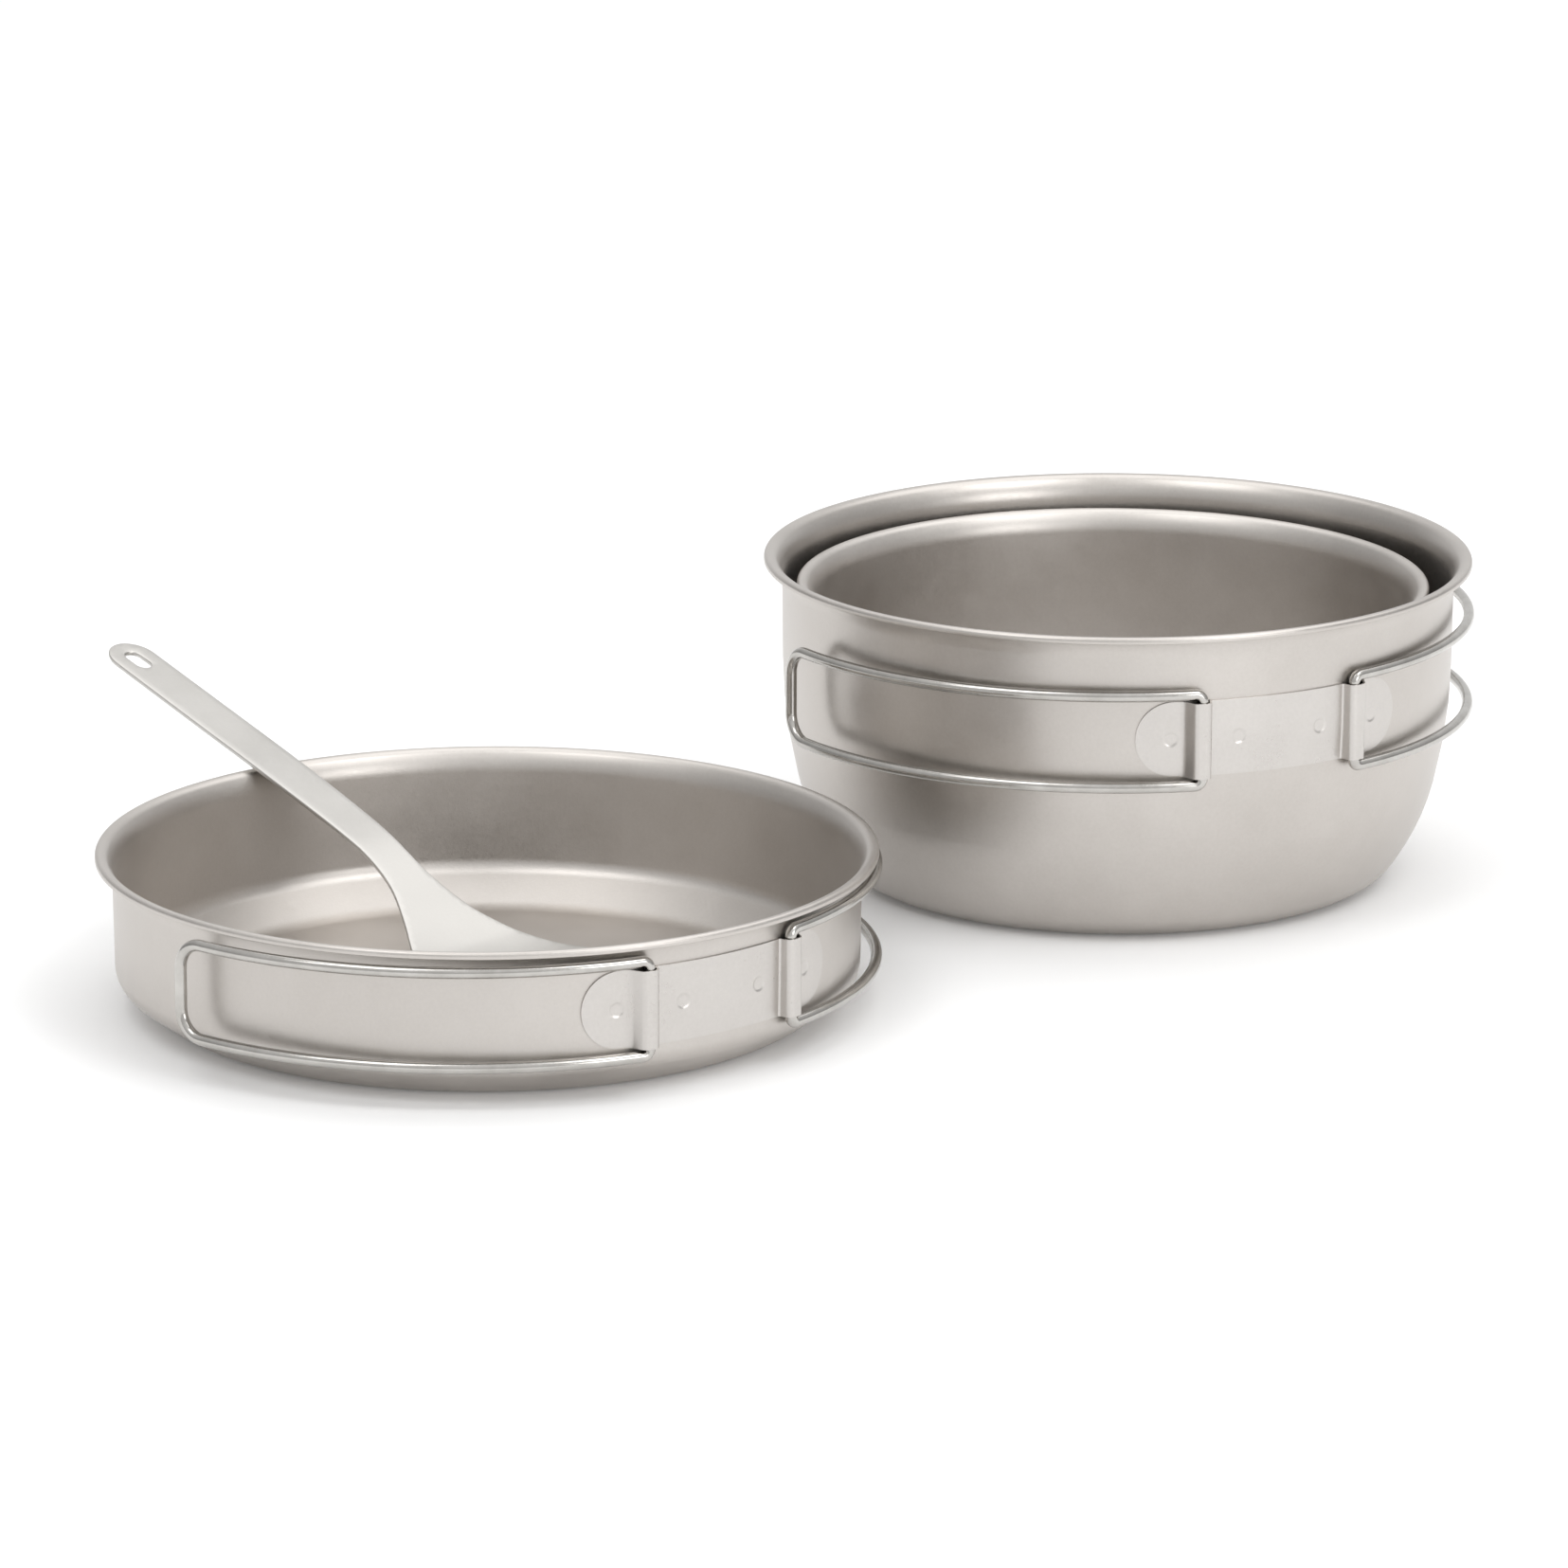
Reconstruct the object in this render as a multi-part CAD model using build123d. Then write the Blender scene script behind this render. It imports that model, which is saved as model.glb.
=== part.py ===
"""Three-piece titanium cook set with a ladle: pot, nested bowl, shallow pan, all in millimetres, +Z up.

The origin is the centre of the pot's flat base. X points right and Y away from the handle side.
Azimuths are measured about a vessel's axis from -Y, positive towards +X.
"""
import os
from math import cos, degrees, hypot, pi, radians, sin, tan

from build123d import *

os.makedirs("parts", exist_ok=True)

# ---- sheet and wire ----
SHEET = 0.5                 # vessel wall
STRAP_SHEET = 0.5           # hinge strap
WIRE_R = 1.5                # handle wire radius
PIN_CLEARANCE = 0.05        # wire leg in its barrel, radial
SEAT_GAP = 0.02             # strap off the wall it is welded to

# ---- outer wall lines: (radius, height, corner radius) from the base centre to the curled lip ----
POT_WALL = [(0, 0, 0), (71.8, 0, 14), (82.8, 16.4, 60), (89.4, 42.8, 136), (89.8, 83.3, 8.9),
            (92.2, 86.7, 2.6), (94.15, 86.7, 0.5), (94.15, 85.7, 0)]
BOWL_WALL = [(0, 0, 0), (62.5, 0, 13), (73.2, 15.5, 54), (79.9, 40.0, 122), (80.4, 75.3, 8.8),
             (82.45, 78.45, 2.0), (84.05, 78.45, 0.5), (84.05, 77.45, 0)]
PAN_WALL = [(0, 0, 0), (83.5, 0, 10), (95.4, 8.6, 6), (95.8, 37.2, 8.9), (97.9, 40.45, 2.2),
            (99.65, 40.45, 0.5), (99.65, 39.45, 0)]
POT_AT = (0, 0, 0)
BOWL_AT = (-1.3, -0.5, SHEET + 0.3)    # bowl base, resting a little off the pot's axis
PAN_AT = (-165.0, -127.5, 0)           # centre of the pan's base

# ---- hinge strap ----
STRAP_H = 20.2
STRAP_HALF = 39.5           # half length along the wall, to the ear tip
HINGE_OFF = 22.3            # hinge axis from the strap centre, along the wall
WELD_OFFS = (12.0, 30.3)    # weld marks from the strap centre, along the wall
WELD_R = 1.9
WELD_DEPTH = 0.18
BARREL_FOOT = 2.6           # foot of a barrel from its axis, on the side of the strap's middle
EAR_FOOT = 4.7              # the same on the ear side, where the sheet rises in a long ramp
BARREL_FLANGE = 1.2         # foot of the barrel along the strap, each side
PIN_OFF_WALL = 0.3          # wire's underside off the wall
# round back of a barrel, (across, outward) as parts of its crest height
BARREL_BACK = [(-0.94, 0.34), (-0.76, 0.65), (-0.42, 0.93)]

# ---- wire handles ----
LOOP_H = 24.4               # between wire centres
LOOP_LEN = 126.0            # hinge axis to the loop end, along the wire
HINGE_BEND = 2.0
LOOP_CORNER = 7.0
LEG_GAP = 0.8               # between the two wire ends inside the barrel

BEYOND = 200                # farther out than any wall, for cutting shapes

# vessel: strap azimuth, strap mid height, hinge axis radius, loop curve radius
POT_HINGE = dict(az=26.3, z=58.9, r=91.6, curve=95.0)
PAN_HINGE = dict(az=39.2, z=23.4, r=97.65, curve=101.0)

# ---- ladle, one pressed piece lying in the pan ----
LADLE_T = 1.2
LADLE_SIDE = -1             # side of the drawn face the thickness goes to: -1 is down
LADLE_AT = (-57.2, 76.1)    # station 0, over the pan's lip, from the pan axis
LADLE_DIR = -43.4           # direction of the scoop end, degrees from +X
LADLE_END = -62.2           # station of the hanging end
LADLE_HOLE = (-54.0, 1.6, 4.8)         # station, half gap between slot ends, slot width
LADLE_FULL = 25.2           # half width at which the edge rise is given
LADLE_REACH = 30.0          # half width of the blank the outline is cut from
# station: half width
LADLE_WIDTH = [(-55.2, 7.0), (-20, 7.1), (10, 7.0), (30, 6.7), (42, 6.5), (50, 7.6), (58.6, 11.6), (66, 16.4),
               (71, 19.4), (79.5, 22.8), (88, 24.7), (95, 25.2), (103, 24.5), (110, 22.0), (116, 18.0)]
LADLE_TIP = 124.6
LADLE_SHOULDER = (122.0, 10.8)         # station, half width, between the last row and the tip
# station: height of the top face on the centre line, rise of the scoop's edge above it
LADLE_HEIGHT = [(-75, 68.6, 0), (-40, 56.2, 0), (-20, 49.15, 0), (0, 42.1, 0), (20, 34.7, 0), (35, 28.6, 0),
                (42, 24.8, 0), (50, 19.4, 0.05), (58.6, 12.9, 0.3), (66, 8.1, 0.8), (71, 5.5, 1.3),
                (79.5, 3.1, 1.9), (88, 2.2, 2.5), (95, 2.05, 2.9), (103, 2.3, 3.2), (110, 3.4, 3.1),
                (118, 5.9, 2.7), (124.6, 9.0, 2.3), (132, 13.0, 2.0)]


def lines_and_arcs(pts):
    """Edges of a polyline (x, y, corner radius) with every corner rounded."""
    edges, start = [], Vector(*pts[0][:2])
    for i in range(1, len(pts)):
        p = Vector(*pts[i][:2])
        r = pts[i][2]
        if i == len(pts) - 1 or r <= 0:
            edges.append(Line(start, p))
            start = p
            continue
        a = (Vector(*pts[i - 1][:2]) - p).normalized()
        b = (Vector(*pts[i + 1][:2]) - p).normalized()
        half = a.get_angle(b) / 2
        reach = r / tan(radians(half))
        bis = (a + b).normalized()
        mid = p + bis * (r / sin(radians(half)) - r)
        edges += [Line(start, p + a * reach), ThreePointArc(p + a * reach, mid, p + b * reach)]
        start = p + b * reach
    return edges


def offset_points(pts, d):
    """The same polyline moved d to its left, corner radii following."""
    out = []
    dirs = []
    for p, q in zip(pts, pts[1:]):
        length = hypot(q[0] - p[0], q[1] - p[1])
        dirs.append(((q[0] - p[0]) / length, (q[1] - p[1]) / length))
    for i, (x, y, r) in enumerate(pts):
        u = dirs[max(i - 1, 0)]
        v = dirs[min(i, len(dirs) - 1)]
        n1, n2 = (-u[1], u[0]), (-v[1], v[0])
        k = d / (1 + n1[0] * n2[0] + n1[1] * n2[1])
        turn = u[0] * v[1] - u[1] * v[0]
        r2 = 0 if r == 0 else r - d if turn > 0 else r + d
        out.append((x + k * (n1[0] + n2[0]), y + k * (n1[1] + n2[1]), r2))
    return out


def sheet_face(pts, t):
    """Closed face of a sheet of thickness t whose right-hand side is the polyline, with a round far edge."""
    inner = offset_points(pts, t)
    outer_edges, inner_edges = lines_and_arcs(pts), lines_and_arcs(inner)
    a, b = Vector(*pts[-1][:2]), Vector(*inner[-1][:2])
    back = Vector(*pts[-2][:2])
    tip = (a + b) * 0.5 + (a - back).normalized() * (t / 2)
    edges = outer_edges + [ThreePointArc(a, tip, b)] + inner_edges
    edges.append(Line(Vector(*pts[0][:2]), Vector(*inner[0][:2])))
    return make_face(Wire(edges))


def revolved(face):
    """Full turn of a face drawn in (radius, height) about Z."""
    return revolve(Plane.XZ * face, axis=Axis.Z, revolution_arc=360)


def vessel(wall):
    return revolved(sheet_face(wall, SHEET))


def outside_solid(wall, gap, low, high):
    """Everything inside a wall line grown by gap, between two heights below its flare."""
    pts = offset_points(wall[:-3], -gap)
    top = pts[-1]
    edges = lines_and_arcs([(p[0], p[1], p[2]) for p in pts[:-1]] + [(top[0], top[1], 0)])
    edges += [Line((top[0], top[1]), (0, top[1])), Line((0, top[1]), (0, pts[0][1]))]
    body = revolved(make_face(Wire(edges)))
    slab = Pos(0, 0, (low + high) / 2) * Cylinder(BEYOND, high - low)
    return body & slab


def at_azimuth(az, r, z):
    """Location on the wall: local X along the wall, local Y outward."""
    return Pos(r * sin(radians(az)), -r * cos(radians(az)), z) * Rot(0, 0, az + 180)


def barrel_section(drop, side):
    """Open channel wrapped round the wire, hinge axis at its origin, feet drop below it, ear at -side."""
    crest = WIRE_R + PIN_CLEARANCE + STRAP_SHEET
    foot = -drop + STRAP_SHEET
    back = [(crest * x, crest * y) for x, y in BARREL_BACK]
    pts = [(-EAR_FOOT - BARREL_FLANGE, foot), (-EAR_FOOT, foot), *back, (0, crest)]
    pts += [(-x, y) for x, y in reversed(back)]
    pts += [(crest, -0.2), (BARREL_FOOT, foot), (BARREL_FOOT + BARREL_FLANGE, foot)]
    pts += [(pts[-1][0], -drop - 2), (pts[0][0], -drop - 2)]
    return make_face(Polyline(*[(side * x, y) for x, y in pts], close=True))


def hinge_strap(wall, hinge):
    """Sheet strap with a barrel near each end, both ends rounded, following the wall."""
    low, high = hinge["z"] - STRAP_H / 2, hinge["z"] + STRAP_H / 2
    core = outside_solid(wall, SEAT_GAP, low - 5, high + 5)
    skin = outside_solid(wall, SEAT_GAP + STRAP_SHEET, low, high) - core
    r_wall = hinge["r"] - WIRE_R - PIN_OFF_WALL
    per_mm = degrees(1 / r_wall)
    ear = STRAP_H / 2
    flat = STRAP_HALF - ear
    keep = wedge(hinge["az"] - flat * per_mm, hinge["az"] + flat * per_mm, low, high)
    for side in (-1, 1):
        at = at_azimuth(hinge["az"] + side * flat * per_mm, r_wall, hinge["z"])
        keep += at * Rot(90, 0, 0) * Cylinder(ear, 12)
    strap = skin & keep
    for side in (-1, 1):
        at = at_azimuth(hinge["az"] + side * HINGE_OFF * per_mm, hinge["r"], low)
        strap += (at * extrude(barrel_section(WIRE_R + PIN_OFF_WALL, side), STRAP_H)) - core
    for side in (-1, 1):
        at = at_azimuth(hinge["az"] + side * HINGE_OFF * per_mm, hinge["r"], hinge["z"])
        bore = WIRE_R + PIN_CLEARANCE
        strap -= at * Cylinder(bore, STRAP_H + 2)
        strap -= at * Pos(0, -2.5, 0) * Box(2 * bore, 5, STRAP_H + 2)
        for off in WELD_OFFS:
            spot = at_azimuth(hinge["az"] + side * off * per_mm, r_wall + SEAT_GAP + STRAP_SHEET, hinge["z"])
            strap -= spot * Rot(90, 0, 0) * Cylinder(WELD_R, 2 * WELD_DEPTH)
    return strap


def wedge(az0, az1, low, high):
    """Pie slice between two azimuths."""
    pts = [(0, 0)]
    for az in (az0, (az0 + az1) / 2, az1):
        pts.append((BEYOND * sin(radians(az)), -BEYOND * cos(radians(az))))
    return Pos(0, 0, low) * extrude(make_face(Polyline(*pts, close=True)), high - low)


def handle_path(hinge, side):
    """Centre line of one closed handle; side -1 runs to smaller azimuths, +1 to larger."""
    az = radians(hinge["az"]) + side * HINGE_OFF / (hinge["r"] - WIRE_R - PIN_OFF_WALL)
    out = Vector(sin(az), -cos(az), 0)
    along = Vector(cos(az), sin(az), 0) * side
    axis_pt = out * hinge["r"]
    z, half = hinge["z"], LOOP_H / 2
    centre = axis_pt + along * HINGE_BEND - out * hinge["curve"]
    sweep_rad = (LOOP_LEN - HINGE_BEND - LOOP_CORNER) / hinge["curve"]

    def on_curve(t):
        return centre + out * (hinge["curve"] * cos(t)) + along * (hinge["curve"] * sin(t))

    end = on_curve(sweep_rad)
    end_dir = along * cos(sweep_rad) - out * sin(sweep_rad)
    k = 1 - cos(pi / 4)
    edges = []
    for s in (1, -1):
        up = Vector(0, 0, s)
        leg0 = axis_pt + Vector(0, 0, z + s * LEG_GAP / 2)
        leg1 = axis_pt + Vector(0, 0, z + s * (half - HINGE_BEND))
        bend = leg1 + along * HINGE_BEND + up * HINGE_BEND
        bend_mid = leg1 + along * (HINGE_BEND * k) + up * (HINGE_BEND * (1 - k))
        level = Vector(0, 0, z + s * half)
        corner = end + level
        corner_mid = corner + end_dir * (LOOP_CORNER * (1 - k)) - up * (LOOP_CORNER * k)
        down = corner + end_dir * LOOP_CORNER - up * LOOP_CORNER
        part = [Line(leg0, leg1), ThreePointArc(leg1, bend_mid, bend),
                ThreePointArc(bend, on_curve(sweep_rad / 2) + level, corner),
                ThreePointArc(corner, corner_mid, down)]
        if s == 1:
            edges += part
            top_down = down
        else:
            edges += [Line(top_down, down)] + list(reversed(part))
    return Wire(edges), axis_pt + Vector(0, 0, z + LEG_GAP / 2)


def wire_handle(hinge, side):
    path, start = handle_path(hinge, side)
    return sweep(Plane(start, z_dir=(0, 0, 1)) * Circle(WIRE_R), path=path)


def smooth(table, x, col=1):
    """Cubic through the table's rows, slopes from the neighbouring rows."""
    n = len(table)
    i = max(0, min(n - 2, sum(1 for row in table if row[0] <= x) - 1))

    def slope(k):
        lo, hi = table[max(k - 1, 0)], table[min(k + 1, n - 1)]
        return (hi[col] - lo[col]) / (hi[0] - lo[0])

    p, q = table[i], table[i + 1]
    h = q[0] - p[0]
    t = (x - p[0]) / h
    return ((1 + 2 * t) * (1 - t) ** 2 * p[col] + t * (1 - t) ** 2 * h * slope(i)
            + t * t * (3 - 2 * t) * q[col] - t * t * (1 - t) * h * slope(i + 1))


def evenly(lo, hi, count):
    return [lo + (hi - lo) * k / (count - 1) for k in range(count)]


def ladle():
    """Dished sheet cut to the ladle's outline, in the pan's own axes."""
    rows = []
    for s in evenly(LADLE_HEIGHT[0][0], LADLE_HEIGHT[-1][0], 70):
        mid, rise = smooth(LADLE_HEIGHT, s), smooth(LADLE_HEIGHT, s, 2)
        rows.append([Vector(s, n, mid + rise * (n / LADLE_FULL) ** 2)
                     for n in evenly(-LADLE_REACH, LADLE_REACH, 13)])
    sheet = thicken(Face.make_surface_from_array_of_points(rows), amount=LADLE_SIDE * LADLE_T)
    side = [(s, smooth(LADLE_WIDTH, s)) for s in evenly(LADLE_WIDTH[0][0], LADLE_WIDTH[-1][0], 41)]
    left, right = Spline(*side), Spline(*[(s, -w) for s, w in side])
    end = ThreePointArc(side[0], (LADLE_END, 0), (side[0][0], -side[0][1]))
    (last, half), (shoulder, narrow) = side[-1], LADLE_SHOULDER
    slope = left % 1
    nose = Spline((last, half), (shoulder, narrow), (LADLE_TIP, 0), (shoulder, -narrow), (last, -half),
                  tangents=(slope, Vector(-slope.X, slope.Y)))
    body = sheet & extrude(make_face(Wire([left, nose, right, end])), BEYOND)
    at, gap, width = LADLE_HOLE
    body -= Pos(at, 0, 0) * extrude(SlotCenterToCenter(2 * gap, width), BEYOND)
    return Pos(LADLE_AT[0], LADLE_AT[1], 0) * Rot(0, 0, LADLE_DIR) * body


def save(name, shape, at):
    shape = Pos(*at) * shape
    shape.label = name
    export_step(shape, f"parts/{name}.step")


def main():
    save("pot_shell", vessel(POT_WALL), POT_AT)
    save("bowl_shell", vessel(BOWL_WALL), BOWL_AT)
    save("pan_shell", vessel(PAN_WALL), PAN_AT)
    save("ladle", ladle(), PAN_AT)
    for name, wall, hinge, at in (("pot", POT_WALL, POT_HINGE, POT_AT), ("pan", PAN_WALL, PAN_HINGE, PAN_AT)):
        save(f"{name}_hinge_strap", hinge_strap(wall, hinge), at)
        save(f"{name}_left_handle", wire_handle(hinge, -1), at)
        save(f"{name}_right_handle", wire_handle(hinge, 1), at)


main()
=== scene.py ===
"""Looks of the nesting camp cook set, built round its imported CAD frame, in metres.

The origin is the centre of the pot's flat base. Azimuths are measured about a vessel's axis from -Y,
positive towards +X.
"""
from math import cos, hypot, pi, radians, sin, sqrt, tan

import bpy
from mathutils import Matrix, Vector
from mathutils.geometry import delaunay_2d_cdt


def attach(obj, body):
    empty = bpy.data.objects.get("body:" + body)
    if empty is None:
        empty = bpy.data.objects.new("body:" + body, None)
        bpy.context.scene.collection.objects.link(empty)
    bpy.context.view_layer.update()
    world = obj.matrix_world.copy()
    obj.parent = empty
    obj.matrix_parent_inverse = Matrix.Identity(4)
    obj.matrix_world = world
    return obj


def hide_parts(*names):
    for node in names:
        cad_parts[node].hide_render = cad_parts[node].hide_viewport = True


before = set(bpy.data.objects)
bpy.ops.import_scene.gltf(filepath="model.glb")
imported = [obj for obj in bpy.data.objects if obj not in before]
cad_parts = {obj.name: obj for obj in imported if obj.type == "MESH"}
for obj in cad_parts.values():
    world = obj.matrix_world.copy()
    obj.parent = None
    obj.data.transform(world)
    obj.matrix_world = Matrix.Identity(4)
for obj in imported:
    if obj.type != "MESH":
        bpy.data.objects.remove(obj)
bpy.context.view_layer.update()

# ---- sheet and wire ----
SHEET = 0.0005
WIRE_R = 0.0015
PIN_CLEARANCE = 0.00005     # wire leg in its barrel, radial
PIN_OFF_WALL = 0.0003       # wire's underside off the wall
SEAT_GAP = 0.00002          # strap off the wall it is welded to

# ---- outer wall lines: (radius, height, corner radius) from the base centre to the curled lip ----
POT_WALL = [(0, 0, 0), (0.0718, 0, 0.014), (0.0828, 0.0164, 0.06), (0.0894, 0.0428, 0.136),
            (0.0898, 0.0833, 0.0089), (0.0922, 0.0867, 0.0026), (0.09415, 0.0867, 0.0005),
            (0.09415, 0.0857, 0)]
BOWL_WALL = [(0, 0, 0), (0.0625, 0, 0.013), (0.0732, 0.0155, 0.054), (0.0799, 0.04, 0.122),
             (0.0804, 0.0753, 0.0088), (0.08245, 0.07845, 0.002), (0.08405, 0.07845, 0.0005),
             (0.08405, 0.07745, 0)]
PAN_WALL = [(0, 0, 0), (0.0835, 0, 0.01), (0.0954, 0.0086, 0.006), (0.0958, 0.0372, 0.0089),
            (0.0979, 0.04045, 0.0022), (0.09965, 0.04045, 0.0005), (0.09965, 0.03945, 0)]
POT_AT = (0, 0, 0)
BOWL_AT = (-0.0013, -0.0005, 0.0008)
PAN_AT = (-0.165, -0.1275, 0)
TURN_STEPS = 288            # facets round a vessel
ARC_STEP = radians(4)
WALL_STEP = 0.004           # rough length of a facet on a straight stretch of wall
PROBE_STEP = 0.001          # the same when a wall's radius is looked up
PROBE_FROM = 0.02           # radius inside which the base is left out of that search
LIP_STEPS = 8
ON_AXIS = 1e-7              # radius under which a point counts as on the axis

# ---- hinge strap, offsets measured along the wall from its centre ----
STRAP_H = 0.0202
STRAP_HALF = 0.0395         # to the ear tip
HINGE_OFF = 0.0223
BARREL_FOOT = 0.0026        # foot of a barrel from its axis, towards the strap's middle
BARREL_FOOT_ROUND = 0.0006
EAR_FOOT = 0.0047           # the same towards the ear
EAR_FOOT_ROUND = 0.0026
BARREL_TOP = 0.00205        # half width of a barrel's crest before its shoulders are rounded
BARREL_TOP_ROUND = 0.0019
TIP_TRIM = 0.00002          # cut off each ear tip, where the rows of the mesh would meet in a point
WELD_OFFS = (0.012, 0.0303)
WELD_R = 0.0021
WELD_DEPTH = 0.00022
WELD_FLANK = 0.3            # part of a weld mark's radius over which it gets deeper
STRAP_STEP = 0.0003
STRAP_EDGE = dict(width=0.0002, segments=3, limit_method="ANGLE", angle_limit=radians(60))

# ---- wire handles ----
LOOP_H = 0.0244             # between wire centres
LOOP_LEN = 0.126            # hinge axis to the loop end, along the wire
HINGE_BEND = 0.002
LOOP_CORNER = 0.007
LEG_GAP = 0.0008            # between the two wire ends inside the barrel
LEG_STEPS, BEND_STEPS, SWEEP_STEPS, CORNER_STEPS = 6, 12, 72, 16
WIRE_SIDES = 24

# vessel: strap azimuth, strap mid height, hinge axis radius, loop curve radius
POT_HINGE = dict(az=26.3, z=0.0589, r=0.0916, curve=0.095)
PAN_HINGE = dict(az=39.2, z=0.0234, r=0.09765, curve=0.101)

# ---- ladle, one pressed piece lying in the pan; stations run from its handle to its scoop ----
LADLE_T = 0.0012
LADLE_ROUND = 0.00035       # rounding of its edges
LADLE_AT = (-0.0572, 0.0761)
LADLE_DIR = -43.4           # direction of the scoop end, degrees from +X
LADLE_END = -0.0622
LADLE_HOLE = (-0.054, 0.0016, 0.0024)   # station, half gap between slot ends, their radius
# station, half width
LADLE_WIDTH = [(-0.0552, 0.007), (-0.02, 0.0071), (0.01, 0.007), (0.03, 0.0067), (0.042, 0.0065),
               (0.05, 0.0076), (0.0586, 0.0116), (0.066, 0.0164), (0.071, 0.0194), (0.0795, 0.0228),
               (0.088, 0.0247), (0.095, 0.0252), (0.103, 0.0245), (0.11, 0.022), (0.116, 0.018)]
LADLE_FULL = 0.0252         # half width at which the edge rise is given
LADLE_SHOULDER = (0.122, 0.0108)        # station, half width, between the last row and the tip
LADLE_TIP = 0.1246
# station, height of the top face on the centre line, rise of the scoop's edge above it
LADLE_HEIGHT = [(-0.075, 0.0686, 0), (-0.04, 0.0562, 0), (-0.02, 0.04915, 0), (0, 0.0421, 0),
                (0.02, 0.0347, 0), (0.035, 0.0286, 0), (0.042, 0.0248, 0), (0.05, 0.0194, 0.00005),
                (0.0586, 0.0129, 0.0003), (0.066, 0.0081, 0.0008), (0.071, 0.0055, 0.0013),
                (0.0795, 0.0031, 0.0019), (0.088, 0.0022, 0.0025), (0.095, 0.00205, 0.0029),
                (0.103, 0.0023, 0.0032), (0.11, 0.0034, 0.0031), (0.118, 0.0059, 0.0027),
                (0.1246, 0.009, 0.0023), (0.132, 0.013, 0.002)]
LADLE_CELL = 0.0013         # spacing of the points inside the outline
CELL_CLEAR = 0.55           # their least distance from the rounded edge, in cells
MERGE_UNDER = 1e-7          # points closer than this are one
SLOPE_REACH = 0.0001        # how far each way along the ladle its slope is measured
SIDE_STEPS, NOSE_STEPS, END_STEPS, SLOT_STEPS = 110, 10, 20, 24
EDGE_TURNS = (pi / 6, pi / 3, pi / 2)   # angles of the points that round an edge

# ---- metal looks: grain and streak are bump strengths, sparkle is a band's radii and strength ----
POT_LOOK = dict(dark=(0.52, 0.49, 0.46), light=(0.58, 0.55, 0.52), rough=0.35, grain=0.14, streak=0.08)
BOWL_LOOK = dict(dark=(0.56, 0.53, 0.50), light=(0.62, 0.59, 0.56), rough=0.4, grain=0.14)
PAN_LOOK = dict(dark=(0.54, 0.51, 0.48), light=(0.60, 0.57, 0.54), rough=0.4, grain=0.12, streak=0.05,
                sparkle=(0.0835, 0.0955, 0.22))
STRAP_LOOK = dict(dark=(0.55, 0.525, 0.50), light=(0.61, 0.585, 0.56), rough=0.32, grain=0.18,
                  streak=0.35)
LADLE_LOOK = dict(dark=(0.54, 0.525, 0.50), light=(0.59, 0.575, 0.55), rough=0.38, grain=0.16)
WIRE_DARK, WIRE_LIGHT = (0.46, 0.445, 0.42), (0.56, 0.545, 0.52)
WIRE_ROUGH = (0.13, 0.24)

# noise scales, per metre
CLOUD, SPECK, PITS, FINE = 38, 1100, 1500, 2600
WIRE_WEAR, WIRE_FINE = 160, 1800
WIRE_STRETCH = (1, 1, 0.15)
STREAKS = (900, 900, 14)    # round the vessel, outward, upward
# bump heights, metres
FINE_HIGH, SPECK_HIGH, STREAK_HIGH, PIT_HIGH, WIRE_HIGH = 0.00004, 0.00006, 0.00004, 0.00015, 0.00002
ROUND_SCALE = 0.09          # radius at which an angle is measured as a length

# ---- floor and lights: name, place, point aimed at, width and height, watts ----
FLOOR_HALF = 6
FLOOR_TONES = (0.91, 0.91, 0.91), (0.93, 0.93, 0.93)
FLOOR_GLOW = 0.06
MIDDLE = (-0.05, -0.05, 0.04)
LIGHTS = [("top", (0.2, 0.5, 1.3), (0.2, 0.5, 0), (1.8, 1.2), 6.7),
          ("key_left", (-0.9, -0.9, 1.9), MIDDLE, (1.0, 1.0), 7),
          ("key_right", (1.0, -0.9, 1.9), MIDDLE, (1.0, 1.0), 9),
          ("right_front", (1.0, -1.3, 0.45), MIDDLE, (0.8, 0.6), 4)]

# ---- room light by direction: each part is the product of two ramps (axis, from, to, first, last) ----
X, Y, Z = range(3)
SKY_FRONT = (Y, -0.8, 0.1, 0.3, 0), (Z, 0.2, 0.8, 1, 0.6)
SKY_DOME = (Z, 0.1, 0.9, 0.42, 0.85), (X, -0.9, 0.9, 0.9, 1.05)
SKY_BACK = (Y, 0.5, 0.95, 0, 0.42), (Z, 0.1, 0.8, 1, 0.3)

# ---- camera ----
CAM_AT = (-0.0892, -2.4294, 0.6743)
CAM_PITCH = 15.007          # degrees down from level
CAM_ROLL = 0.04
CAM_LENS, CAM_SENSOR = 214.5, 36        # millimetres
CAM_FAR = 50


# ---------------------------------------------------------------- shapes in the plane

def offset_points(pts, d):
    """The polyline moved d to its left, corner radii following."""
    out, dirs = [], []
    for p, q in zip(pts, pts[1:]):
        length = hypot(q[0] - p[0], q[1] - p[1])
        dirs.append(((q[0] - p[0]) / length, (q[1] - p[1]) / length))
    for i, (x, y, r) in enumerate(pts):
        u, v = dirs[max(i - 1, 0)], dirs[min(i, len(dirs) - 1)]
        n1, n2 = (-u[1], u[0]), (-v[1], v[0])
        k = d / (1 + n1[0] * n2[0] + n1[1] * n2[1])
        turn = u[0] * v[1] - u[1] * v[0]
        r2 = 0 if r == 0 else r - d if turn > 0 else r + d
        out.append((x + k * (n1[0] + n2[0]), y + k * (n1[1] + n2[1]), r2))
    return out


def turned(p, t):
    """A plane vector turned by t, anticlockwise."""
    return Vector((p.x * cos(t) - p.y * sin(t), p.x * sin(t) + p.y * cos(t)))


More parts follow.
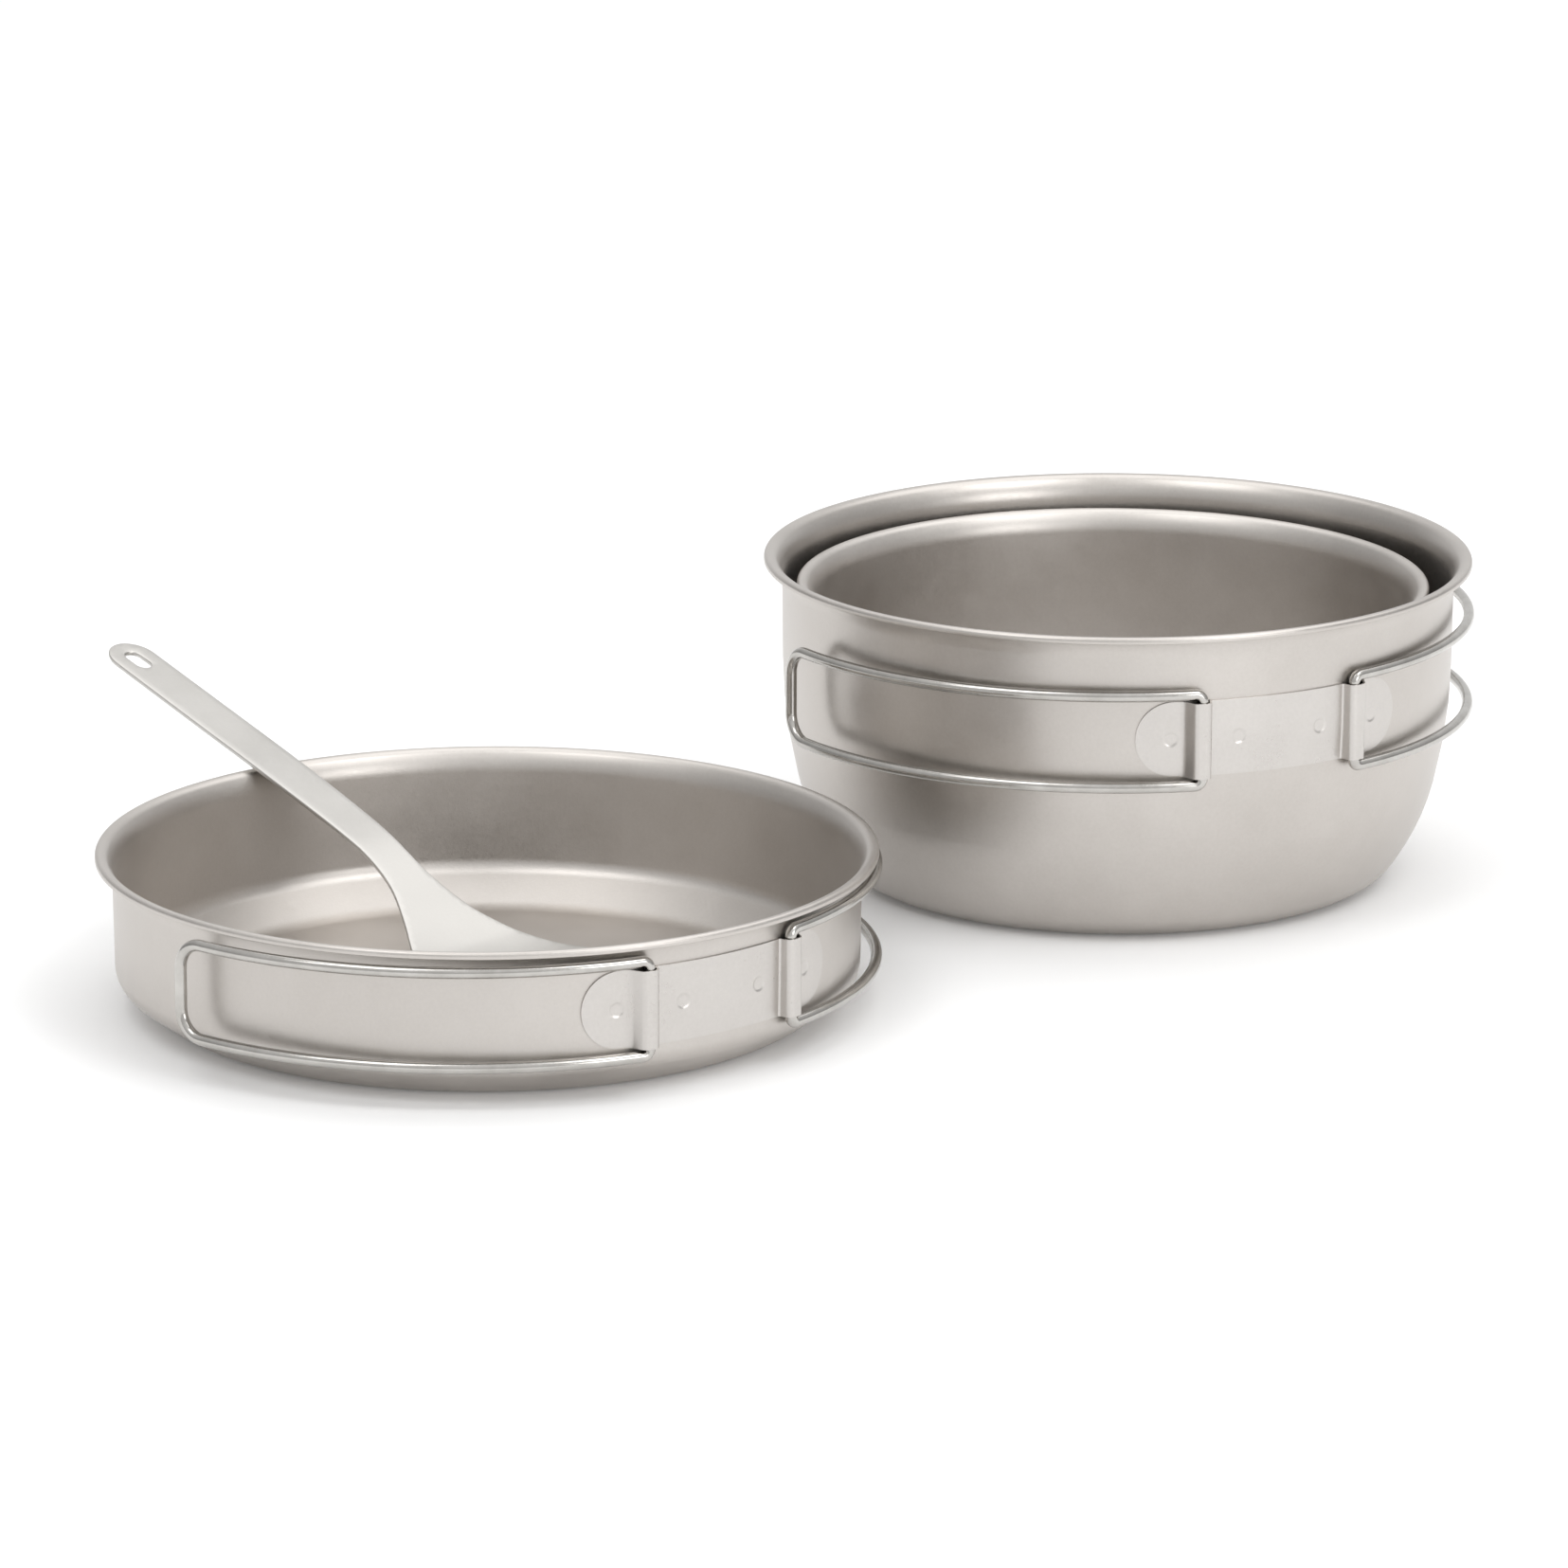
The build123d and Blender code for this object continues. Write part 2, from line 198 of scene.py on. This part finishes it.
def rounded(pts, step):
    """Points along a polyline whose corners are rounded, its straights cut to about step."""
    out = [Vector(pts[0][:2])]

    def run_to(p):
        n = max(1, round((p - out[-1]).length / step))
        a = out[-1].copy()
        out.extend(a.lerp(p, k / n) for k in range(1, n + 1))

    for i in range(1, len(pts) - 1):
        p, r = Vector(pts[i][:2]), pts[i][2]
        if r <= 0:
            run_to(p)
            continue
        a = (Vector(pts[i - 1][:2]) - p).normalized()
        b = (Vector(pts[i + 1][:2]) - p).normalized()
        half = a.angle(b) / 2
        sweep = pi - 2 * half
        centre = p + (a + b).normalized() * (r / sin(half))
        run_to(p + a * (r / tan(half)))
        arm = out[-1] - centre
        sign = 1 if a.cross(b) < 0 else -1
        n = max(2, round(sweep / ARC_STEP))
        out += [centre + turned(arm, sign * sweep * k / n) for k in range(1, n + 1)]
    run_to(Vector(pts[-1][:2]))
    return out


def smooth(table, x, col=1):
    """Cubic through the table's rows, slopes from the neighbouring rows."""
    n = len(table)
    i = max(0, min(n - 2, sum(1 for row in table if row[0] <= x) - 1))

    def slope(k):
        lo, hi = table[max(k - 1, 0)], table[min(k + 1, n - 1)]
        return (hi[col] - lo[col]) / (hi[0] - lo[0])

    p, q = table[i], table[i + 1]
    h = q[0] - p[0]
    t = (x - p[0]) / h
    return ((1 + 2 * t) * (1 - t) ** 2 * p[col] + t * (1 - t) ** 2 * h * slope(i)
            + t * t * (3 - 2 * t) * q[col] - t * t * (1 - t) * h * slope(i + 1))


def ease(t):
    t = max(0.0, min(1.0, t))
    return t * t * (3 - 2 * t)


# ---------------------------------------------------------------- meshes

def piece(name, shape, at, body, nodes, material):
    """A smooth-shaded mesh at a vessel's axis that rides on a body and stands for CAD nodes."""
    verts, faces = shape
    mesh = bpy.data.meshes.new(name)
    mesh.from_pydata([tuple(v) for v in verts], [], faces)
    mesh.validate()
    mesh.polygons.foreach_set("use_smooth", [True] * len(mesh.polygons))
    mesh.materials.append(material)
    obj = bpy.data.objects.new(name, mesh)
    bpy.context.scene.collection.objects.link(obj)
    obj.location = at
    bpy.context.view_layer.update()
    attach(obj, body)
    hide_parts(*nodes)
    return obj


def band(ring, other):
    """Faces between two closed rings of as many vertices."""
    return [(a, b, d, c) for a, b, c, d in zip(ring, ring[1:] + ring[:1], other, other[1:] + other[:1])]


def sheet_profile(wall):
    """Closed section of a vessel's wall: outside, round lip, inside."""
    outside = rounded(wall, WALL_STEP)
    inner = rounded(offset_points(wall, SHEET), WALL_STEP)
    mid, arm = (outside[-1] + inner[-1]) / 2, (outside[-1] - inner[-1]) / 2
    lip = [mid + turned(arm, pi * k / LIP_STEPS) for k in range(1, LIP_STEPS)]
    return outside + lip + inner[::-1]


def lathe(profile):
    """Vertices and faces of a section turned about Z; its first and last points are on the axis."""
    verts, rings = [], []
    for r, z in profile:
        steps = 1 if r < ON_AXIS else TURN_STEPS
        rings.append(list(range(len(verts), len(verts) + steps)))
        for k in range(steps):
            a = 2 * pi * k / TURN_STEPS
            verts.append(Vector((r * cos(a), r * sin(a), z)))
    faces = []
    for lo, hi in zip(rings, rings[1:]):
        if len(lo) == 1:
            faces += [(lo[0], b, a) for a, b in zip(hi, hi[1:] + hi[:1])]
        elif len(hi) == 1:
            faces += [(a, b, hi[0]) for a, b in zip(lo, lo[1:] + lo[:1])]
        else:
            faces += band(lo, hi)
    return verts, faces


def wall_radius(wall):
    """Function giving the outer radius of a vessel at a height, above its base corner."""
    line = [p for p in rounded(wall, PROBE_STEP) if p.x > PROBE_FROM]

    def radius(z):
        for a, b in zip(line, line[1:]):
            if a.y <= z <= b.y and a.y < b.y:
                return a.x + (b.x - a.x) * (z - a.y) / (b.y - a.y)
        return line[-1].x

    return radius


def tube(path, radius):
    """Round bar along a path, ends closed."""
    verts, faces, ring = [], [], []
    t_prev = (path[1] - path[0]).normalized()
    side = t_prev.orthogonal().normalized()
    for i, p in enumerate(path):
        t = (path[min(i + 1, len(path) - 1)] - path[max(i - 1, 0)]).normalized()
        side = t_prev.rotation_difference(t) @ side
        side = (side - t * side.dot(t)).normalized()
        up = t.cross(side)
        new = list(range(len(verts), len(verts) + WIRE_SIDES))
        verts += [p + (side * cos(a) + up * sin(a)) * radius
                  for a in (2 * pi * k / WIRE_SIDES for k in range(WIRE_SIDES))]
        faces += band(ring, new)
        ring, t_prev = new, t
    faces.append(tuple(range(WIRE_SIDES - 1, -1, -1)))
    faces.append(tuple(ring))
    return verts, faces


def handle_path(hinge, side):
    """Centre line of one closed handle; side -1 runs to smaller azimuths, +1 to larger."""
    az = radians(hinge["az"]) + side * HINGE_OFF / (hinge["r"] - WIRE_R - PIN_OFF_WALL)
    out = Vector((sin(az), -cos(az), 0))
    along = Vector((cos(az), sin(az), 0)) * side
    mid = Vector((0, 0, hinge["z"]))
    pin, half, curve = out * hinge["r"], LOOP_H / 2, hinge["curve"]
    centre = pin + along * HINGE_BEND - out * curve
    sweep = (LOOP_LEN - HINGE_BEND - LOOP_CORNER) / curve
    end_dir = along * cos(sweep) - out * sin(sweep)

    def on_curve(t):
        return centre + out * (curve * cos(t)) + along * (curve * sin(t))

    def quarter(steps):
        return [pi / 2 * k / steps for k in range(1, steps + 1)]

    def half_path(s):
        up = Vector((0, 0, s))
        low, high = LEG_GAP / 2, half - HINGE_BEND
        pts = [pin + mid + up * (low + (high - low) * k / LEG_STEPS) for k in range(LEG_STEPS + 1)]
        foot = pin + mid + up * high + along * HINGE_BEND
        pts += [foot - along * (HINGE_BEND * cos(t)) + up * (HINGE_BEND * sin(t))
                for t in quarter(BEND_STEPS)]
        pts += [on_curve(sweep * k / SWEEP_STEPS) + mid + up * half for k in range(1, SWEEP_STEPS + 1)]
        turn = on_curve(sweep) + mid + up * (half - LOOP_CORNER)
        pts += [turn + end_dir * (LOOP_CORNER * sin(t)) + up * (LOOP_CORNER * cos(t))
                for t in quarter(CORNER_STEPS)]
        return pts

    return half_path(1) + half_path(-1)[::-1]


def strap_section(top):
    """Outer line of the strap along the wall: offset along it, distance off the wall, corner radius."""
    left = [(-HINGE_OFF - EAR_FOOT, SHEET, EAR_FOOT_ROUND),
            (-HINGE_OFF - BARREL_TOP, top, BARREL_TOP_ROUND),
            (-HINGE_OFF + BARREL_TOP, top, BARREL_TOP_ROUND),
            (-HINGE_OFF + BARREL_FOOT, SHEET, BARREL_FOOT_ROUND)]
    right = [(-s, n, r) for s, n, r in reversed(left)]
    return [(-STRAP_HALF, SHEET, 0)] + left + right + [(STRAP_HALF, SHEET, 0)]


def weld_dip(s, z):
    """Depth of the weld marks at an offset along the strap and a height from its middle."""
    return sum(WELD_DEPTH * ease((1 - hypot(abs(s) - off, z) / WELD_R) / WELD_FLANK)
               for off in WELD_OFFS)


def strap_rows(wall, hinge, depth):
    """Rows of points on one skin of the strap, depth below its outer face."""
    radius = wall_radius(wall)
    r_wall = hinge["r"] - WIRE_R - PIN_OFF_WALL
    crest = hinge["r"] + WIRE_R + PIN_CLEARANCE + SHEET
    ear, flat, end = STRAP_H / 2, STRAP_HALF - STRAP_H / 2, STRAP_HALF - TIP_TRIM
    count = round(STRAP_H / STRAP_STEP)
    rows = []
    for j in range(count + 1):
        v = -1 + 2 * j / count
        section = strap_section(crest - radius(hinge["z"] + v * ear) - SEAT_GAP)
        row = []
        for s, n in rounded(offset_points(section, -depth), STRAP_STEP):
            s = max(-end, min(end, s))
            over = max(0.0, abs(s) - flat)
            z = v * sqrt(max(0.0, ear * ear - over * over))
            if not depth:
                n -= weld_dip(s, z)
            r = radius(hinge["z"] + z) + SEAT_GAP + n
            a = radians(hinge["az"]) + s / r_wall
            row.append(Vector((r * sin(a), -r * cos(a), hinge["z"] + z)))
        rows.append(row)
    return rows


def strap_mesh(wall, hinge):
    """Strap as two skins joined round the edge, with barrels, half-round ears and weld marks."""
    skins = [strap_rows(wall, hinge, 0), strap_rows(wall, hinge, SHEET)]
    cols = min(len(row) for skin in skins for row in skin)
    last = len(skins[0]) - 1
    verts, faces = [], []
    for skin in skins:
        for row in skin:
            verts += [row[round(i * (len(row) - 1) / (cols - 1))] for i in range(cols)]

    def at(skin, j, i):
        return (skin * (last + 1) + j) * cols + i

    for j in range(last):
        for i in range(cols - 1):
            faces.append((at(0, j, i), at(0, j, i + 1), at(0, j + 1, i + 1), at(0, j + 1, i)))
            faces.append((at(1, j, i), at(1, j + 1, i), at(1, j + 1, i + 1), at(1, j, i + 1)))
    edge = ([(0, i) for i in range(cols)] + [(j, cols - 1) for j in range(1, last + 1)]
            + [(last, i) for i in range(cols - 2, -1, -1)] + [(j, 0) for j in range(last - 1, 0, -1)])
    inner, outer = [at(1, *spot) for spot in edge], [at(0, *spot) for spot in edge]
    faces += band(inner, outer)
    return verts, faces


def catmull(pts, n):
    """Points of a smooth curve from pts' second to just before its last but one, n to each span."""
    out = []
    for i in range(1, len(pts) - 2):
        p0, p1, p2, p3 = pts[i - 1:i + 3]
        for t in (k / n for k in range(n)):
            out.append(0.5 * (2 * p1 + (p2 - p0) * t + (2 * p0 - 5 * p1 + 4 * p2 - p3) * t * t
                              + (3 * p1 - p0 - 3 * p2 + p3) * t ** 3))
    return out


def mirrored(pts):
    """The same points on the other side of the ladle's centre line, in the opposite order."""
    return [Vector((p.x, -p.y)) for p in pts[::-1]]


def ladle_outline():
    """Closed anticlockwise outline of the ladle from above: stations along it, half widths across."""
    (first, width), (last, _) = LADLE_WIDTH[0], LADLE_WIDTH[-1]
    side = [Vector((s, smooth(LADLE_WIDTH, s)))
            for s in (first + (last - first) * k / SIDE_STEPS for k in range(SIDE_STEPS))]
    guide = [Vector(LADLE_WIDTH[-2]), Vector(LADLE_WIDTH[-1]), Vector(LADLE_SHOULDER)]
    nose = catmull(guide + [Vector((LADLE_TIP, 0))] + mirrored(guide), NOSE_STEPS)
    end = [Vector((first + (first - LADLE_END) * cos(t), width * sin(t)))
           for t in (pi * 1.5 - pi * k / END_STEPS for k in range(1, END_STEPS))]
    return (side + nose + mirrored(side) + end)[::-1]


def slot_outline(at, gap, r):
    """Closed clockwise outline of a round-ended slot."""
    pts = []
    for t in (2 * pi * k / SLOT_STEPS for k in range(SLOT_STEPS)):
        pts.append(Vector((at + (gap if cos(t) > 0 else -gap) + r * cos(t), r * sin(t))))
    return pts[::-1]


def inset(loop, d):
    """Closed outline moved d to its left."""
    out = []
    for i, p in enumerate(loop):
        t = (loop[(i + 1) % len(loop)] - loop[i - 1]).normalized()
        out.append(p + Vector((-t.y, t.x)) * d)
    return out


def inside(loop, p):
    hit = False
    for a, b in zip(loop, loop[1:] + loop[:1]):
        if (a.y > p.y) != (b.y > p.y) and p.x < (b.x - a.x) * (p.y - a.y) / (b.y - a.y) + a.x:
            hit = not hit
    return hit


def between(rim, hole, p):
    return inside(rim, p) and not inside(hole, p)


def ladle_face(rim, hole):
    """Points and triangles filling the ladle's outline round its slot, the outlines' points first."""
    reach = LADLE_CELL * CELL_CLEAR
    keep_rim, keep_hole = inset(rim, reach), inset(hole, reach)
    grid = []
    for i in range(int((LADLE_TIP - LADLE_END) / LADLE_CELL) + 1):
        for j in range(int(2 * LADLE_FULL / LADLE_CELL) + 1):
            x = LADLE_END + (i + 0.5 * (j % 2)) * LADLE_CELL
            p = Vector((x, -LADLE_FULL + (j + 0.5) * LADLE_CELL))
            if between(keep_rim, keep_hole, p):
                grid.append(p)
    n, m = len(rim), len(hole)
    edges = [(i, (i + 1) % n) for i in range(n)] + [(n + i, n + (i + 1) % m) for i in range(m)]
    pts, _, tris, *_ = delaunay_2d_cdt(rim + hole + grid, edges, [], 0, MERGE_UNDER)
    kept = [tri for tri in tris if between(rim, hole, sum((pts[k] for k in tri), Vector((0, 0))) / 3)]
    return pts, kept


def ladle_mesh():
    """Dished strip of even thickness with rounded edges and a slot."""
    rim, hole = ladle_outline(), slot_outline(*LADLE_HOLE)
    flat, tris = ladle_face(inset(rim, LADLE_ROUND), inset(hole, LADLE_ROUND))
    turn = radians(LADLE_DIR)

    def lift(p, drop):
        rise = smooth(LADLE_HEIGHT, p.x, 2)
        z = smooth(LADLE_HEIGHT, p.x) + rise * (p.y / LADLE_FULL) ** 2
        ahead, behind = (smooth(LADLE_HEIGHT, p.x + h) for h in (SLOPE_REACH, -SLOPE_REACH))
        slope = hypot(1, (ahead - behind) / (2 * SLOPE_REACH), 2 * rise * p.y / LADLE_FULL ** 2)
        q = turned(p, turn)
        return Vector((LADLE_AT[0] + q.x, LADLE_AT[1] + q.y, z - drop * slope))

    verts = [lift(p, 0) for p in flat] + [lift(p, LADLE_T) for p in flat]
    faces = [tuple(t) for t in tris] + [tuple(k + len(flat) for k in t[::-1]) for t in tris]
    levels = [(LADLE_ROUND * (1 - sin(t)), LADLE_ROUND * (1 - cos(t))) for t in EDGE_TURNS]
    levels += [(d, LADLE_T - z) for d, z in levels[::-1]]
    for loop, first in ((rim, 0), (hole, len(rim))):
        top = list(range(first, first + len(loop)))
        ring = top
        for d, z in levels:
            new = list(range(len(verts), len(verts) + len(loop)))
            verts += [lift(p, z) for p in inset(loop, d)]
            faces += band(new, ring)
            ring = new
        faces += band([k + len(flat) for k in top], ring)
    return verts, faces


# ---------------------------------------------------------------- materials

class Nodes:
    """Short way to write a material's node tree."""

    def __init__(self, name):
        self.mat = bpy.data.materials.new(name)
        self.mat.use_nodes = True
        self.tree = self.mat.node_tree
        self.shader = self.tree.nodes["Principled BSDF"]
        self.coord = self.tree.nodes.new("ShaderNodeTexCoord").outputs["Object"]

    def link(self, a, b):
        self.tree.links.new(a, b)

    def noise(self, scale, detail=2.0, rough=0.5, stretch=(1, 1, 1), source=None):
        mapping = self.tree.nodes.new("ShaderNodeMapping")
        mapping.inputs["Scale"].default_value = stretch
        self.link(source or self.coord, mapping.inputs["Vector"])
        n = self.tree.nodes.new("ShaderNodeTexNoise")
        n.inputs["Scale"].default_value = scale
        n.inputs["Detail"].default_value = detail
        n.inputs["Roughness"].default_value = rough
        self.link(mapping.outputs["Vector"], n.inputs["Vector"])
        return n.outputs["Fac"]

    def remap(self, value, lo, hi, to_lo, to_hi):
        n = self.tree.nodes.new("ShaderNodeMapRange")
        for key, v in (("From Min", lo), ("From Max", hi), ("To Min", to_lo), ("To Max", to_hi)):
            n.inputs[key].default_value = v
        self.link(value, n.inputs["Value"])
        return n.outputs["Result"]

    def math(self, op, *values):
        n = self.tree.nodes.new("ShaderNodeMath")
        n.operation = op
        for i, v in enumerate(values):
            if isinstance(v, (int, float)):
                n.inputs[i].default_value = v
            else:
                self.link(v, n.inputs[i])
        return n.outputs[0]

    def mix(self, fac, a, b):
        n = self.tree.nodes.new("ShaderNodeMix")
        n.data_type = "RGBA"
        n.inputs["A"].default_value = (*a, 1)
        n.inputs["B"].default_value = (*b, 1)
        self.link(fac, n.inputs["Factor"])
        return n.outputs["Result"]

    def bump(self, height, strength, distance, after=None):
        n = self.tree.nodes.new("ShaderNodeBump")
        n.inputs["Strength"].default_value = strength
        n.inputs["Distance"].default_value = distance
        self.link(height, n.inputs["Height"])
        if after:
            self.link(after, n.inputs["Normal"])
        return n.outputs["Normal"]

    def round_coords(self):
        """(arc position, radius, height) about the object's own axis, and the radius by itself."""
        sep = self.tree.nodes.new("ShaderNodeSeparateXYZ")
        self.link(self.coord, sep.inputs[0])
        x, y, z = sep.outputs
        angle = self.math("ARCTAN2", y, x)
        squares = self.math("ADD", self.math("MULTIPLY", x, x), self.math("MULTIPLY", y, y))
        radius = self.math("SQRT", squares)
        join = self.tree.nodes.new("ShaderNodeCombineXYZ")
        self.link(self.math("MULTIPLY", angle, ROUND_SCALE), join.inputs[0])
        self.link(radius, join.inputs[1])
        self.link(z, join.inputs[2])
        return join.outputs[0], radius


def titanium(name, dark, light, rough, grain, streak=0.0, sparkle=None):
    """Bead-blasted titanium: fine grain, faint clouds and, if asked for, streaks and a pitted band."""
    n = Nodes(name)
    around, radius = n.round_coords()
    cloud = n.noise(CLOUD, 3, 0.6)
    speck = n.noise(SPECK, 3, 0.65)
    tone = n.math("ADD", n.math("MULTIPLY", cloud, 0.6), n.math("MULTIPLY", speck, 0.4))
    n.link(n.mix(n.remap(tone, 0.35, 0.65, 0, 1), dark, light), n.shader.inputs["Base Color"])
    n.shader.inputs["Metallic"].default_value = 1
    blur = n.math("ADD", n.remap(cloud, 0.3, 0.7, -0.03, 0.03),
                  n.remap(speck, 0.3, 0.7, rough - 0.04, rough + 0.04))
    n.link(blur, n.shader.inputs["Roughness"])
    normal = n.bump(n.noise(FINE, 2, 0.6), grain, FINE_HIGH)
    normal = n.bump(speck, grain * 0.7, SPECK_HIGH, normal)
    if streak:
        lines = n.noise(1, 3, 0.7, STREAKS, around)
        normal = n.bump(lines, streak, STREAK_HIGH, normal)
    if sparkle:
        lo, hi, strength = sparkle
        zone = n.math("MULTIPLY", n.remap(radius, lo - 0.002, lo + 0.001, 0, 1),
                      n.remap(radius, hi - 0.001, hi + 0.001, 1, 0))
        pits = n.math("MULTIPLY", n.noise(PITS, 2, 0.6), zone)
        normal = n.bump(pits, strength, PIT_HIGH, normal)
    n.link(normal, n.shader.inputs["Normal"])
    return n.mat


def polished_wire(name):
    """Drawn steel wire: bright, with faint wear and fine scratches."""
    n = Nodes(name)
    wear = n.noise(WIRE_WEAR, 4, 0.6)
    fine = n.noise(WIRE_FINE, 2, 0.6, WIRE_STRETCH)
    n.link(n.mix(n.remap(wear, 0.3, 0.7, 0, 1), WIRE_DARK, WIRE_LIGHT), n.shader.inputs["Base Color"])
    n.shader.inputs["Metallic"].default_value = 1
    n.link(n.remap(fine, 0.3, 0.7, *WIRE_ROUGH), n.shader.inputs["Roughness"])
    n.link(n.bump(fine, 0.12, WIRE_HIGH), n.shader.inputs["Normal"])
    return n.mat


# ---------------------------------------------------------------- the set

def build_vessels():
    for vessel, wall, at, look_name, look in (("pot", POT_WALL, POT_AT, "titanium_shell", POT_LOOK),
                                              ("bowl", BOWL_WALL, BOWL_AT, "titanium_bowl", BOWL_LOOK),
                                              ("pan", PAN_WALL, PAN_AT, "titanium_pan", PAN_LOOK)):
        node = f"{vessel}_shell"
        metal = titanium(look_name, **look)
        piece(f"{node}_skin", lathe(sheet_profile(wall)), at, vessel, [node], metal)


def build_hardware():
    metal = titanium("titanium_strap", **STRAP_LOOK)
    wire = polished_wire("polished_wire")
    for vessel, wall, hinge, at in (("pot", POT_WALL, POT_HINGE, POT_AT),
                                    ("pan", PAN_WALL, PAN_HINGE, PAN_AT)):
        strap = piece(f"{vessel}_strap_sheet", strap_mesh(wall, hinge), at, vessel,
                      [f"{vessel}_hinge_strap"], metal)
        edge = strap.modifiers.new("edge", "BEVEL")
        for key, value in STRAP_EDGE.items():
            setattr(edge, key, value)
        for word, side in (("left", -1), ("right", 1)):
            piece(f"{vessel}_{word}_wire", tube(handle_path(hinge, side), WIRE_R), at,
                  f"{vessel}_handle_{word}", [f"{vessel}_{word}_handle"], wire)


def build_ladle():
    metal = titanium("titanium_ladle", **LADLE_LOOK)
    piece("ladle_blank", ladle_mesh(), PAN_AT, "ladle", ["ladle"], metal)


# ---------------------------------------------------------------- studio

def area_light(name, at, aim, size, power):
    data = bpy.data.lights.new(name, "AREA")
    data.shape = "RECTANGLE"
    data.size, data.size_y = size
    data.energy = power
    lamp = bpy.data.objects.new(name, data)
    lamp.location = at
    lamp.rotation_euler = (Vector(aim) - Vector(at)).to_track_quat("-Z", "Y").to_euler()
    bpy.context.scene.collection.objects.link(lamp)


def sky_light(tree):
    """Room light by direction: a dome brighter upwards and to the right, low glows front and back."""
    coord = tree.nodes.new("ShaderNodeTexCoord").outputs["Generated"]
    sep = tree.nodes.new("ShaderNodeSeparateXYZ")
    tree.links.new(coord, sep.inputs[0])

    def ramp(axis, lo, hi, first, last):
        n = tree.nodes.new("ShaderNodeMapRange")
        n.interpolation_type = "SMOOTHSTEP"
        for key, v in (("From Min", lo), ("From Max", hi), ("To Min", first), ("To Max", last)):
            n.inputs[key].default_value = v
        tree.links.new(sep.outputs[axis], n.inputs["Value"])
        return n.outputs["Result"]

    def join(op, a, b):
        n = tree.nodes.new("ShaderNodeMath")
        n.operation = op
        tree.links.new(a, n.inputs[0])
        tree.links.new(b, n.inputs[1])
        return n.outputs[0]

    front, dome, back = (join("MULTIPLY", ramp(*a), ramp(*b))
                         for a, b in (SKY_FRONT, SKY_DOME, SKY_BACK))
    total = join("ADD", join("ADD", front, dome), back)
    tree.links.new(total, tree.nodes["Background"].inputs["Strength"])


def build_floor():
    w = FLOOR_HALF
    mesh = bpy.data.meshes.new("floor")
    mesh.from_pydata([(-w, -w, 0), (w, -w, 0), (w, w, 0), (-w, w, 0)], [], [(0, 1, 2, 3)])
    floor = bpy.data.objects.new("floor", mesh)
    bpy.context.scene.collection.objects.link(floor)
    n = Nodes("floor_paper")
    n.link(n.mix(n.noise(3, 2), *FLOOR_TONES), n.shader.inputs["Base Color"])
    n.shader.inputs["Roughness"].default_value = 0.9
    n.shader.inputs["Emission Color"].default_value = (1, 1, 1, 1)
    n.shader.inputs["Emission Strength"].default_value = FLOOR_GLOW
    n.shader.inputs["Specular IOR Level"].default_value = 0.1
    mesh.materials.append(n.mat)


def build_lights():
    world = bpy.data.worlds.new("studio")
    bpy.context.scene.world = world
    world.use_nodes = True
    world.node_tree.nodes["Background"].inputs["Color"].default_value = (1, 1, 1, 1)
    sky_light(world.node_tree)
    for light in LIGHTS:
        area_light(*light)


def build_camera():
    data = bpy.data.cameras.new("camera")
    data.lens, data.sensor_width = CAM_LENS, CAM_SENSOR
    data.clip_end = CAM_FAR
    cam = bpy.data.objects.new("camera", data)
    cam.matrix_world = (Matrix.Translation(CAM_AT) @ Matrix.Rotation(radians(90 - CAM_PITCH), 4, "X")
                        @ Matrix.Rotation(radians(CAM_ROLL), 4, "Z"))
    bpy.context.scene.collection.objects.link(cam)
    bpy.context.scene.camera = cam
    bpy.context.scene.view_settings.view_transform = "Standard"


build_vessels()
build_hardware()
build_ladle()
build_floor()
build_lights()
build_camera()
